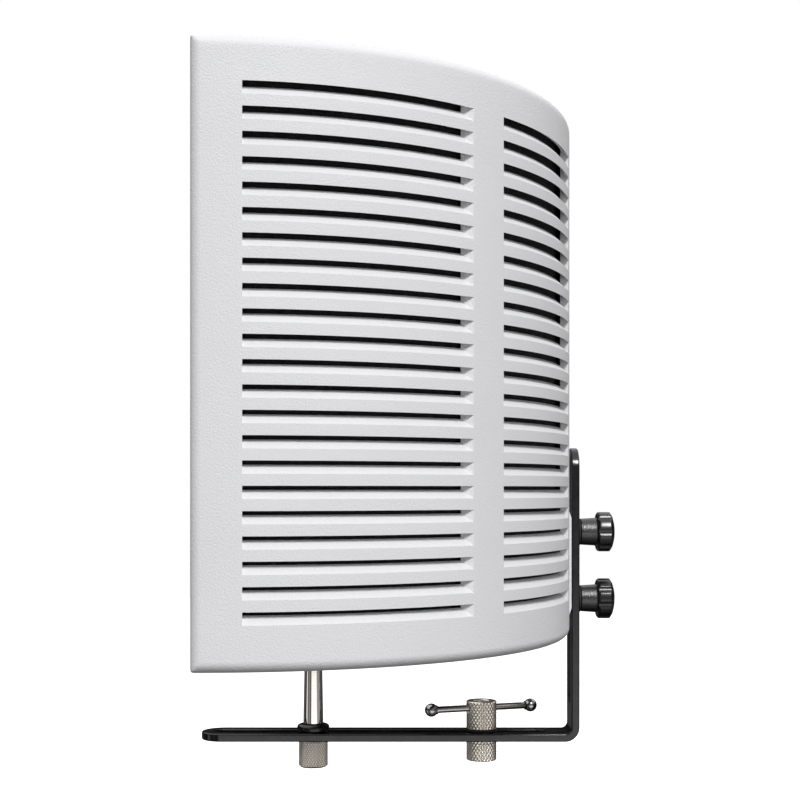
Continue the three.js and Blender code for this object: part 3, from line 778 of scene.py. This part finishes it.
def bracket():
    """Strip cut flat with its two slots and rounded edges, then bent to the L."""
    straight = UPRIGHT_BACK - BEND_R - strip_low[1]
    arc_length = (BEND_R - STRIP_THICKNESS / 2) * math.pi / 2
    upright_start = straight + arc_length
    bend_z = LEG_BOTTOM + BEND_R
    length = upright_start + strip_high[2] - bend_z
    slots = [(LEVEL_SLOT[0] - strip_low[1], LEVEL_SLOT[1] - strip_low[1]),
             (upright_start + UPRIGHT_SLOT[0] - bend_z, upright_start + UPRIGHT_SLOT[1] - bend_z)]
    steps = [math.radians(a) for a in (0, 22.5, 45, 67.5, 90)]
    edge = [(STRIP_EDGE_R * (1 - math.sin(t)), STRIP_EDGE_R * (1 - math.cos(t))) for t in steps]
    edge += [(inset, STRIP_THICKNESS - height) for inset, height in reversed(edge)]

    bm = bmesh.new()
    caps = [[], []]
    for (start, end), width, sign in [((0, length), STRIP_WIDTH, 1)] + [(s, SLOT_WIDTH, -1) for s in slots]:
        rings = []
        for inset, height in edge:
            outline = stadium(start + sign * inset, end - sign * inset, width / 2 - sign * inset)
            rings.append([bm.verts.new((s, w, height)) for s, w in outline])
        for lower, upper in zip(rings, rings[1:]):
            for k in range(len(lower)):
                m = (k + 1) % len(lower)
                bm.faces.new((lower[k], lower[m], upper[m], upper[k]))
        for cap, ring in zip(caps, (rings[0], rings[-1])):
            cap += [bm.edges.get((ring[k], ring[(k + 1) % len(ring)])) for k in range(len(ring))]
    for cap in caps:
        bmesh.ops.triangle_fill(bm, use_beauty=True, edges=cap)
    for s in np.linspace(straight, upright_start, 15):
        bmesh.ops.bisect_plane(bm, geom=bm.verts[:] + bm.edges[:] + bm.faces[:], plane_co=(s, 0, 0),
                               plane_no=(1, 0, 0), dist=1e-5)
    for vert in bm.verts:
        s, w, h = vert.co
        if s <= straight:
            y, z = strip_low[1] + s, LEG_BOTTOM + h
        elif s >= upright_start:
            y, z = UPRIGHT_BACK - h, bend_z + s - upright_start
        else:
            turn = (s - straight) / arc_length * math.pi / 2
            radius = BEND_R - h
            y = UPRIGHT_BACK - BEND_R + radius * math.sin(turn)
            z = bend_z - radius * math.cos(turn)
        vert.co = Vector((w, y, z)) * MM
    bmesh.ops.recalc_face_normals(bm, faces=bm.faces)
    mesh = bpy.data.meshes.new("bracket")
    bm.to_mesh(mesh)
    bm.free()
    obj = bpy.data.objects.new("bracket_strip", mesh)
    bpy.context.scene.collection.objects.link(obj)
    add_piece(obj, "bracket", weighted=True)


# ------------------------------------------------------------------------------------------- knobs

def flutes(turn):
    """Shape function: round flutes along the knob's head."""
    reach = HEAD_R - FLUTE_DEPTH + FLUTE_R

    def shape(angle, radius, height):
        period = 2 * math.pi / FLUTES
        off = (angle - turn + period / 2) % period - period / 2
        across = np.minimum(np.abs(reach * np.sin(off)), FLUTE_R)
        cut = np.where(across < FLUTE_R, reach * np.cos(off) - np.sqrt(FLUTE_R ** 2 - across ** 2), 99)
        soft = 0.18
        blend = np.clip(0.5 + (radius - cut) / (2 * soft), 0, 1)
        lower = radius * (1 - blend) + cut * blend - soft * blend * (1 - blend)
        return np.where((height > NECK_LENGTH + 0.02) & (cut < 50), np.minimum(radius, lower), radius)
    return shape


def knob(name, turn):
    node = f"{name}_knob"
    low, high = corners(node)
    z = (low[2] + high[2]) / 2
    start = low[1] - UPRIGHT_BACK
    end = NECK_LENGTH + HEAD_LENGTH
    bore_end = NECK_LENGTH + 3.7
    outline = [(0, bore_end), (STUD_BORE_R, bore_end), (STUD_BORE_R, start), (7.9, start),
               (8.2, start + 0.3), (8.8, NECK_LENGTH - 0.4), (9.2, NECK_LENGTH), (HEAD_R - 1.2, NECK_LENGTH),
               (HEAD_R, NECK_LENGTH + 1.2), (HEAD_R, end - 3.1), (HEAD_R - 2.6, end - 1.4),
               (HEAD_R / 2, end - 0.35), (0, end)]
    profile = rounded(outline, 0.45)
    profile = [p for a, b in zip(profile, profile[1:]) for p in dense(a, b, 1.1)[:-1]] + [profile[-1]]
    obj = lathe(profile, 192, flutes(turn), along_y=True, place=(0, UPRIGHT_BACK, z))
    add_piece(obj, node, materials=[MATERIALS["knob_plastic"], KNOB_NECK])
    neck_end = (UPRIGHT_BACK + NECK_LENGTH - 0.2) * MM
    for face in obj.data.polygons:
        face.material_index = int(face.center.y < neck_end)

    node = f"{name}_knob_stud"
    low, high = corners(node)
    radius = (high[0] - low[0]) / 2
    profile = [(0, low[1]), (radius - 0.7, low[1]), (radius, low[1] + 0.7)]
    profile += dense((radius, low[1] + 0.8), (radius, high[1] - 0.8), THREAD_STEP)
    profile += [(radius, high[1] - 0.7), (radius - 0.7, high[1]), (0, high[1])]
    shape = thread(radius, M8_PITCH, low[1] + 0.75, high[1] - 4, 0.55)
    add_piece(lathe(profile, 48, shape, along_y=True, place=(0, 0, z)), node)

    node = f"{name}_knob_washer"
    low, high = corners(node)
    ring = [(4.4, low[1]), (8.6, low[1]), (8.8, low[1] + 0.2), (8.8, high[1] - 0.2), (8.6, high[1]),
            (4.4, high[1])]
    add_piece(lathe(ring, 96, along_y=True, place=(0, 0, z)), node)


# -------------------------------------------------------------------------------- microphone post

def microphone_post():
    low, high = corners("mic_post")
    foot = corners("post_collar")[1][2] + GAP
    shoulder = corners("post_thread_sleeve")[0][2] - GAP
    place = (0, POST_Y, 0)
    taper = [(POST_R - 0.3, foot), (POST_R, foot + 0.3), (6.3, foot + 4), (6.02, 40), (POST_TOP_R, 58),
             (POST_TOP_R, shoulder - 0.8)]
    profile = [(0, low[2]), (3.4, low[2]), (STUD_R, low[2] + 0.5)]
    profile += dense((STUD_R, low[2] + 0.6), (STUD_R, foot - 4), THREAD_STEP) + [(STUD_R, foot)]
    profile += rounded(taper, 0.3) + [(5.1, shoulder), (POST_THREAD_R, shoulder)]
    profile += dense((POST_THREAD_R, shoulder + 0.1), (POST_THREAD_R, high[2] - 0.5), THREAD_STEP)
    profile += [(4.4, high[2]), (0, high[2])]
    shape = all_of(thread(STUD_R, M8_PITCH, low[2] + 0.7, foot - 4.2, 0.5),
                   thread(POST_THREAD_R, M8_PITCH, shoulder + 0.3, high[2] - 0.6, 0.5))
    add_piece(lathe(profile, 96, shape, place=place), "mic_post")

    low, high = corners("post_collar")
    base, top = low[2], high[2]
    profile = [(STUD_BORE_R, base), (COLLAR_R - 0.5, base), (COLLAR_R, base + 0.6)]
    profile += [(COLLAR_R - COLLAR_ROUND * (1 - math.cos(a)), top - 0.1 - COLLAR_ROUND * (1 - math.sin(a)))
                for a in np.radians(range(0, 91, 10))]
    add_piece(lathe(profile + [(STUD_BORE_R, top)], 96, place=place), "post_collar", materials=[COLLAR])

    low, high = corners("post_thread_sleeve")
    base, top = low[2], high[2]
    profile = [(SLEEVE_BORE_R, base), (SLEEVE_R - 0.5, base), (SLEEVE_R, base + 0.5)]
    profile += dense((SLEEVE_R, base + 0.6), (SLEEVE_R, top - 0.6), STAND_PITCH / 8)
    profile += [(SLEEVE_R, top - 0.5), (SLEEVE_R - 0.5, top), (SLEEVE_BORE_R + 0.3, top),
                (SLEEVE_BORE_R, top - 0.3)]
    shape = thread(SLEEVE_R, STAND_PITCH, base + 0.7, top - 0.7, 0.42)
    add_piece(lathe(profile, 128, shape, place=place), "post_thread_sleeve")

    low, high = corners("post_nut")
    base, top, outer = low[2], high[2], POST_NUT_R
    bore_end = base + 2.3
    profile = [(0, bore_end), (STUD_BORE_R, bore_end), (STUD_BORE_R, top), (outer - 0.8, top),
               (outer, top - 0.7)]
    profile += dense((outer, top - 0.8), (outer, base + 1.2), 0.22)
    profile += rounded([(outer, base + 1.1), (outer - 1.1, base), (0, base)], 0.3)
    shape = knurl(outer, 32, 2.7, base + 1.15, top - 0.75)
    add_piece(lathe(profile, 448, shape, place=place), "post_nut")


# ---------------------------------------------------------------------------------- stand and clamp

def clamp():
    top = corners("stand_adapter")[1][2]
    shoulder = LEG_BOTTOM - GAP
    profile = [(0, STAND_BORE_DEPTH), (STAND_BORE_R, STAND_BORE_DEPTH)]
    profile += dense((STAND_BORE_R, STAND_BORE_DEPTH - 0.1), (STAND_BORE_R, 0.7), STAND_PITCH / 6)
    profile += [(STAND_BORE_R + 0.5, 0), (ADAPTER_R - 0.5, 0), (ADAPTER_R, 0.5)]
    profile += dense((ADAPTER_R, 0.6), (ADAPTER_R, shoulder - 0.6), KNURL_STEP)
    profile += [(ADAPTER_R - 0.5, shoulder), (ADAPTER_STUD_R, shoulder)]
    profile += dense((ADAPTER_STUD_R, shoulder + 0.4), (ADAPTER_STUD_R, top - 0.6), 0.2)
    profile += [(ADAPTER_STUD_R - 0.5, top), (0, top)]
    shape = all_of(knurl(ADAPTER_R, *KNURL, 0.55, shoulder - 0.55),
                   thread(STAND_BORE_R, STAND_PITCH, 0.8, STAND_BORE_DEPTH - 0.4, 0.35),
                   thread(ADAPTER_STUD_R, M8_PITCH, shoulder + 0.6, top - 0.7, 0.5))
    add_piece(lathe(profile, KNURL_STEPS, shape), "stand_adapter")

    low, high = corners("clamp_washer")
    edge = 0.15
    ring = [(CLAMP_BORE_R, low[2]), (CLAMP_WASHER_R - edge, low[2]), (CLAMP_WASHER_R, low[2] + edge),
            (CLAMP_WASHER_R, high[2] - edge), (CLAMP_WASHER_R - edge, high[2]), (CLAMP_BORE_R, high[2])]
    add_piece(lathe(ring, 96), "clamp_washer")

    low, high = corners("clamp_nut")
    base, top = low[2], high[2]
    profile = [(CLAMP_BORE_R, top - 0.6), (CLAMP_BORE_R, base), (ADAPTER_R - 0.5, base),
               (ADAPTER_R, base + 0.5)]
    profile += dense((ADAPTER_R, base + 0.6), (ADAPTER_R, top - 0.6), KNURL_STEP)
    profile += rounded([(ADAPTER_R, top - 0.5), (ADAPTER_R - 0.5, top), (CLAMP_BORE_R + 0.5, top),
                        (CLAMP_BORE_R + 0.05, top - 0.5)], 0.15)
    nut = lathe(profile, KNURL_STEPS, knurl(ADAPTER_R, *KNURL, base + 0.55, top - 0.55))
    half_hole = [(TOMMY_HOLE_R, 8.4), (TOMMY_HOLE_R + 0.6, 9.3), (TOMMY_HOLE_R + 1.1, 11), (0, 11)]
    hole = [(radius, -y) for radius, y in reversed(half_hole)] + half_hole
    cutter = lathe(hole, 48, along_y=True)
    turn_to_bar(cutter)
    combine(nut, cutter, "DIFFERENCE")
    add_piece(nut, "clamp_nut")

    half = BALL_SPACING / 2 - GAP
    bar = lathe(rounded([(0, -half), (TOMMY_R, -half), (TOMMY_R, half), (0, half)], 0.3), 48, along_y=True)
    turn_to_bar(bar)
    add_piece(bar, "tommy_bar")
    socket = TOMMY_R + GAP
    neck = BALL_R * 0.9
    for node, side in (("tommy_ball_front", -1), ("tommy_ball_rear", 1)):
        middle = side * BALL_SPACING / 2
        outline = [(0, middle), (socket, middle), (socket, middle - side * (neck - 0.3)),
                   (socket + 0.5, middle - side * neck)]
        outline += [(BALL_R * math.sin(a), middle + side * BALL_R * math.cos(a))
                    for a in np.radians(np.linspace(138, 0, 24))]
        outline[-1] = (0, middle + side * BALL_R)
        ball = lathe(outline, 64, along_y=True)
        turn_to_bar(ball)
        add_piece(ball, node)


def turn_to_bar(obj):
    """Turns a mesh that lies along Y to the tommy bar's direction and height."""
    obj.data.transform(Matrix.Translation((0, 0, TOMMY_Z * MM)) @ Matrix.Rotation(TOMMY_TURN, 4, "Z"))


# ----------------------------------------------------------------------------------- light and stage

def area_light(name, place, target, size, power):
    light = bpy.data.lights.new(name, "AREA")
    light.shape = "RECTANGLE"
    light.size, light.size_y = size
    light.energy = power
    obj = bpy.data.objects.new(name, light)
    obj.location = place
    obj.rotation_euler = (Vector(target) - Vector(place)).to_track_quat("-Z", "Y").to_euler()
    obj.visible_camera = False
    bpy.context.scene.collection.objects.link(obj)
    return obj


# What glossy surfaces mirror near the horizon: brightness by direction, in degrees from +X towards +Y
CARDS = [(-180, 0.06), (-150, 0.12), (-108, 0.1), (-104, 0.03), (-86, 0.03), (-82, 1.0), (-70, 1.0),
         (-66, 0.1), (-56, 0.12), (-50, 0.34), (-40, 0.3), (-34, 0.12), (-22, 0.16), (-17, 1.6), (42, 1.6),
         (48, 0.42), (94, 0.32), (104, 0.06), (128, 0.06), (150, 0.12), (180, 0.06)]
CARDS_FOOT = (-0.75, -0.5)  # heights of direction between which the cards start
CARDS_EDGE = (-0.105, -0.065)  # and between which they end
CARDS_BEYOND = 0.18  # share of their brightness left above and below
CEILING = (0.32, 0.55, 1.25)  # a card overhead: heights where it starts and is full, brightness


def world_light():
    """White to the camera, soft to matt surfaces, and a dark room with bright cards to glossy ones."""
    world = bpy.data.worlds.new("studio")
    bpy.context.scene.world = world
    world.use_nodes = True
    tree = world.node_tree
    direction = add_node(tree, "ShaderNodeTexCoord").outputs["Generated"]
    parts = add_node(tree, "ShaderNodeSeparateXYZ", {0: direction})
    x, y, height = (parts.outputs[k] for k in "XYZ")
    soft = between(tree, height, 0.12, 0.49, -1, 1)

    azimuth = add_node(tree, "ShaderNodeMath", {0: y, 1: x}, operation="ARCTAN2").outputs[0]
    around = between(tree, azimuth, 0, 1, -math.pi, math.pi)
    cards = add_node(tree, "ShaderNodeValToRGB", {"Fac": around})
    ramp = cards.color_ramp
    ramp.interpolation = "LINEAR"
    stops = [(degrees / 360 + 0.5, level) for degrees, level in CARDS]
    for _ in stops[2:]:
        ramp.elements.new(0.5)
    for element, (position, level) in zip(ramp.elements, stops):
        element.position = position
        element.color = (level, level, level, 1)
    foot = between(tree, height, CARDS_BEYOND, 1, *CARDS_FOOT)
    edge = between(tree, height, 1, CARDS_BEYOND, *CARDS_EDGE)
    band = add_node(tree, "ShaderNodeMath", {0: foot, 1: edge}, operation="MINIMUM").outputs[0]
    start, full, bright = CEILING
    ceiling = between(tree, height, 0, bright, start, full)
    room = add_node(tree, "ShaderNodeMath", {0: cards.outputs["Color"], 1: band, 2: ceiling},
                    operation="MULTIPLY_ADD").outputs[0]

    path = add_node(tree, "ShaderNodeLightPath")
    seen = add_node(tree, "ShaderNodeMix", {"Factor": path.outputs["Is Glossy Ray"], "A": soft, "B": room})
    shown = add_node(tree, "ShaderNodeMix",
                     {"Factor": path.outputs["Is Camera Ray"], "A": seen.outputs[0], "B": 1.0})
    tree.links.new(shown.outputs[0], tree.nodes["Background"].inputs["Strength"])
    tree.nodes["Background"].inputs["Color"].default_value = (1, 1, 1, 1)


def studio():
    """Pale floor, a big soft key light, two fills and the world round them."""
    middle = (0, -0.05, 0.22)
    area_light("key", (7.2, 2.15, 6.8), middle, (2.7, 2.7), 785)
    area_light("left_fill", (-1.9, -0.3, 1.3), middle, (1.4, 1.4), 16).visible_glossy = False
    area_light("front_fill", (0.0, -2.2, 1.3), middle, (1.6, 1.4), 3).visible_glossy = False
    world_light()

    size, depth = 6.0, -0.35
    points = [(-size, -size, depth), (size, -size, depth), (size, size, depth), (-size, size, depth)]
    mesh = bpy.data.meshes.new("floor")
    mesh.from_pydata(points, [], [(0, 1, 2, 3)])
    floor = bpy.data.objects.new("floor", mesh)
    bpy.context.scene.collection.objects.link(floor)
    paper, tree, shader = new_material("paper", (0.93, 0.93, 0.93), 0.9, Emission_Strength=0.75,
                                       Emission_Color=(1, 1, 1, 1))
    mesh.materials.append(paper)
    floor.visible_diffuse = False
    floor.visible_glossy = False
    bpy.context.scene.view_settings.view_transform = "Standard"


def camera():
    """Level view along -X with a long lens, framed by a small vertical shift."""
    data = bpy.data.cameras.new("camera")
    data.sensor_width = 36
    data.lens = 65.03
    data.shift_y = 0.112
    obj = bpy.data.objects.new("camera", data)
    obj.location = (0.914, -0.0515, 0.1706)
    obj.rotation_euler = Vector((-1, 0, 0)).to_track_quat("-Z", "Y").to_euler()
    bpy.context.scene.collection.objects.link(obj)
    bpy.context.scene.camera = obj


# ---------------------------------------------------------------------------------------- assembly

camera()
studio()
rear_shell()
insert("upper_insert")
insert("lower_insert")
absorbers()
bracket()
knob("upper", 0)
knob("lower", math.radians(15))
microphone_post()
clamp()
